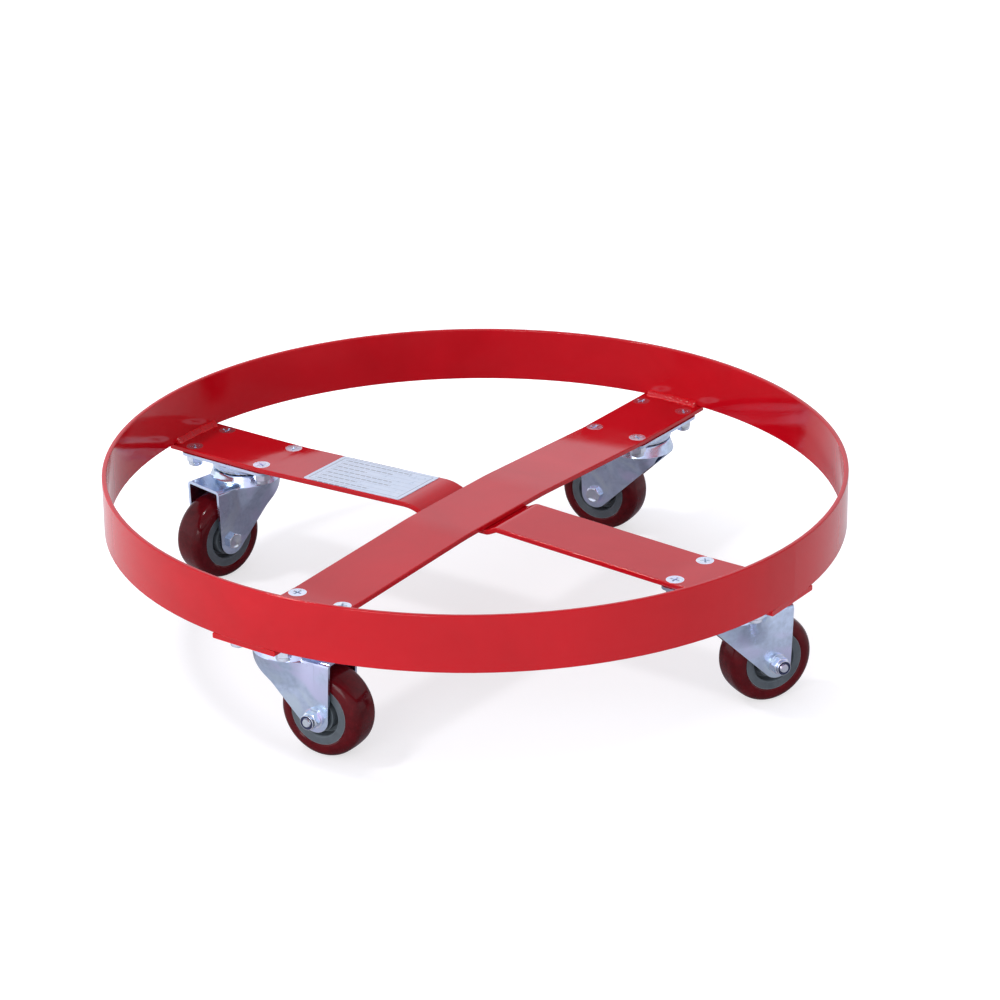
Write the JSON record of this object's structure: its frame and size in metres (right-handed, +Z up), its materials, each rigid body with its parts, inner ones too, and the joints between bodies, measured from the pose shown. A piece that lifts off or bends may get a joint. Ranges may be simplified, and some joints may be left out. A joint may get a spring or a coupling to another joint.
{
  "type": "drum dolly",
  "caption": "Open round drum dolly: a welded flat-steel ring on crossed flat bars, carried by plate-mounted swivel casters with polyurethane wheels.",
  "frame": {"origin": "on the floor under the centre of the ring", "axes": "+Z up, +X along the joggled crossbar towards the front right caster, +Y along the straight crossbar towards the back right caster"},
  "size_m": [0.62, 0.62, 0.1575],
  "materials": {
    "red_enamel": "gloss",
    "silver_label": "satin",
    "zinc_sheet": "bright zinc plate",
    "zinc_fasteners": "bright zinc plate",
    "bearing_steel": "ground and polished",
    "maroon_polyurethane": "gloss",
    "grey_core": "satin"
  },
  "bodies": {
    "frame": {"ring": "red_enamel", "straight_crossbar": "red_enamel", "joggled_crossbar": "red_enamel", "weld_beads": "red_enamel", "data_plate": "silver_label", "plate_screws": "zinc_fasteners", "plate_nuts": "zinc_fasteners", "kingpins": "zinc_fasteners", "front_right_top_plate": "zinc_sheet", "front_right_lower_race": "zinc_sheet", "back_right_top_plate": "zinc_sheet", "back_right_lower_race": "zinc_sheet", "back_left_top_plate": "zinc_sheet", "back_left_lower_race": "zinc_sheet", "front_left_top_plate": "zinc_sheet", "front_left_lower_race": "zinc_sheet"},
    "front_right_fork_assembly": {"front_right_fork": "zinc_sheet", "front_right_axle_bolt": "zinc_fasteners", "front_right_axle_washer": "zinc_fasteners", "front_right_axle_nut": "zinc_fasteners", "front_right_axle_sleeves": "zinc_fasteners", "front_right_bearing_inner_rings": "bearing_steel"},
    "front_right_wheel": {"front_right_tyre": "maroon_polyurethane", "front_right_wheel_core": "grey_core", "front_right_bearing_outer_rings": "bearing_steel"},
    "front_right_swivel_ball_set": {"front_right_swivel_balls": "bearing_steel"},
    "front_right_bearing_ball_set": {"front_right_bearing_balls": "bearing_steel"},
    "back_right_fork_assembly": {"back_right_fork": "zinc_sheet", "back_right_axle_bolt": "zinc_fasteners", "back_right_axle_washer": "zinc_fasteners", "back_right_axle_nut": "zinc_fasteners", "back_right_axle_sleeves": "zinc_fasteners", "back_right_bearing_inner_rings": "bearing_steel"},
    "back_right_wheel": {"back_right_tyre": "maroon_polyurethane", "back_right_wheel_core": "grey_core", "back_right_bearing_outer_rings": "bearing_steel"},
    "back_right_swivel_ball_set": {"back_right_swivel_balls": "bearing_steel"},
    "back_right_bearing_ball_set": {"back_right_bearing_balls": "bearing_steel"},
    "back_left_fork_assembly": {"back_left_fork": "zinc_sheet", "back_left_axle_bolt": "zinc_fasteners", "back_left_axle_washer": "zinc_fasteners", "back_left_axle_nut": "zinc_fasteners", "back_left_axle_sleeves": "zinc_fasteners", "back_left_bearing_inner_rings": "bearing_steel"},
    "back_left_wheel": {"back_left_tyre": "maroon_polyurethane", "back_left_wheel_core": "grey_core", "back_left_bearing_outer_rings": "bearing_steel"},
    "back_left_swivel_ball_set": {"back_left_swivel_balls": "bearing_steel"},
    "back_left_bearing_ball_set": {"back_left_bearing_balls": "bearing_steel"},
    "front_left_fork_assembly": {"front_left_fork": "zinc_sheet", "front_left_axle_bolt": "zinc_fasteners", "front_left_axle_washer": "zinc_fasteners", "front_left_axle_nut": "zinc_fasteners", "front_left_axle_sleeves": "zinc_fasteners", "front_left_bearing_inner_rings": "bearing_steel"},
    "front_left_wheel": {"front_left_tyre": "maroon_polyurethane", "front_left_wheel_core": "grey_core", "front_left_bearing_outer_rings": "bearing_steel"},
    "front_left_swivel_ball_set": {"front_left_swivel_balls": "bearing_steel"},
    "front_left_bearing_ball_set": {"front_left_bearing_balls": "bearing_steel"}
  },
  "joints": [
    {"name": "front_right_swivel", "type": "hinge", "parent": "frame", "child": "front_right_fork_assembly", "pos_m": [0.25, 0, 0.094], "axis": [0, 0, 1], "continuous": true},
    {"name": "front_right_wheel_spin", "type": "hinge", "parent": "front_right_fork_assembly", "child": "front_right_wheel", "pos_m": [0.26596, 0.03002, 0.0375], "axis": [-0.8829, 0.4695, 0], "continuous": true},
    {"name": "front_right_swivel_balls_roll", "type": "hinge", "parent": "frame", "child": "front_right_swivel_ball_set", "pos_m": [0.25, 0, 0.094], "axis": [0, 0, 1], "continuous": true},
    {"name": "front_right_bearing_balls_roll", "type": "hinge", "parent": "front_right_fork_assembly", "child": "front_right_bearing_ball_set", "pos_m": [0.26596, 0.03002, 0.0375], "axis": [-0.8829, 0.4695, 0], "continuous": true},
    {"name": "back_right_swivel", "type": "hinge", "parent": "frame", "child": "back_right_fork_assembly", "pos_m": [0, 0.25, 0.094], "axis": [0, 0, 1], "continuous": true},
    {"name": "back_right_wheel_spin", "type": "hinge", "parent": "back_right_fork_assembly", "child": "back_right_wheel", "pos_m": [-0.03381, 0.24645, 0.0375], "axis": [0.1045, -0.9945, 0], "continuous": true},
    {"name": "back_right_swivel_balls_roll", "type": "hinge", "parent": "frame", "child": "back_right_swivel_ball_set", "pos_m": [0, 0.25, 0.094], "axis": [0, 0, 1], "continuous": true},
    {"name": "back_right_bearing_balls_roll", "type": "hinge", "parent": "back_right_fork_assembly", "child": "back_right_bearing_ball_set", "pos_m": [-0.03381, 0.24645, 0.0375], "axis": [0.1045, -0.9945, 0], "continuous": true},
    {"name": "back_left_swivel", "type": "hinge", "parent": "frame", "child": "back_left_fork_assembly", "pos_m": [-0.25, 0, 0.094], "axis": [0, 0, 1], "continuous": true},
    {"name": "back_left_wheel_spin", "type": "hinge", "parent": "back_left_fork_assembly", "child": "back_left_wheel", "pos_m": [-0.2559, -0.03348, 0.0375], "axis": [0.9848, -0.1736, 0], "continuous": true},
    {"name": "back_left_swivel_balls_roll", "type": "hinge", "parent": "frame", "child": "back_left_swivel_ball_set", "pos_m": [-0.25, 0, 0.094], "axis": [0, 0, 1], "continuous": true},
    {"name": "back_left_bearing_balls_roll", "type": "hinge", "parent": "back_left_fork_assembly", "child": "back_left_bearing_ball_set", "pos_m": [-0.2559, -0.03348, 0.0375], "axis": [0.9848, -0.1736, 0], "continuous": true},
    {"name": "front_left_swivel", "type": "hinge", "parent": "frame", "child": "front_left_fork_assembly", "pos_m": [0, -0.25, 0.094], "axis": [0, 0, 1], "continuous": true},
    {"name": "front_left_wheel_spin", "type": "hinge", "parent": "front_left_fork_assembly", "child": "front_left_wheel", "pos_m": [0.03392, -0.24763, 0.0375], "axis": [-0.0698, 0.9976, 0], "continuous": true},
    {"name": "front_left_swivel_balls_roll", "type": "hinge", "parent": "frame", "child": "front_left_swivel_ball_set", "pos_m": [0, -0.25, 0.094], "axis": [0, 0, 1], "continuous": true},
    {"name": "front_left_bearing_balls_roll", "type": "hinge", "parent": "front_left_fork_assembly", "child": "front_left_bearing_ball_set", "pos_m": [0.03392, -0.24763, 0.0375], "axis": [-0.0698, 0.9976, 0], "continuous": true}
  ],
  "couplings": [
    {"joint": "front_right_swivel_balls_roll", "follows": "front_right_swivel", "ratio": 0.5},
    {"joint": "front_right_bearing_balls_roll", "follows": "front_right_wheel_spin", "ratio": 0.6342},
    {"joint": "back_right_swivel_balls_roll", "follows": "back_right_swivel", "ratio": 0.5},
    {"joint": "back_right_bearing_balls_roll", "follows": "back_right_wheel_spin", "ratio": 0.6342},
    {"joint": "back_left_swivel_balls_roll", "follows": "back_left_swivel", "ratio": 0.5},
    {"joint": "back_left_bearing_balls_roll", "follows": "back_left_wheel_spin", "ratio": 0.6342},
    {"joint": "front_left_swivel_balls_roll", "follows": "front_left_swivel", "ratio": 0.5},
    {"joint": "front_left_bearing_balls_roll", "follows": "front_left_wheel_spin", "ratio": 0.6342}
  ]
}
